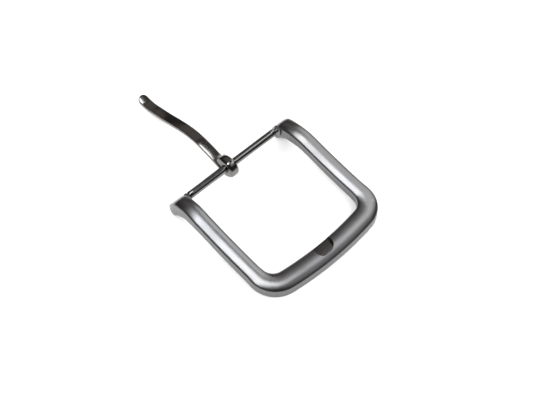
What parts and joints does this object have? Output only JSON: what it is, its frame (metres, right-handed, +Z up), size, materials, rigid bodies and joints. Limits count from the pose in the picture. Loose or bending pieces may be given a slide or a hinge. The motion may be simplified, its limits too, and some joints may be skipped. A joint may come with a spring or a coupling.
{
  "type": "belt buckle",
  "caption": "Single-prong heel-bar belt buckle: arched open frame with domed rails and a bowed, notched front bar, a fixed bar across the rear lugs and a flat prong that swings on it.",
  "frame": {"origin": "middle of the heel bar's axis", "axes": "+X along the heel bar, +Y from the front bar back past the heel bar, +Z up out of the buckle's domed face"},
  "size_m": [0.051, 0.0903, 0.009],
  "materials": {
    "gunmetal_satin": "satin brushed",
    "steel_bar": "polished",
    "gunmetal_polished": "polished"
  },
  "bodies": {
    "buckle": {"frame": "gunmetal_satin", "heel_bar": "steel_bar"},
    "tongue": {"prong": "gunmetal_polished"}
  },
  "joints": [
    {"name": "prong_swing", "type": "hinge", "parent": "buckle", "child": "tongue", "pos_m": [0, 0, 0], "axis": [1, 0, 0], "range_deg": [-163, 187.6]}
  ]
}
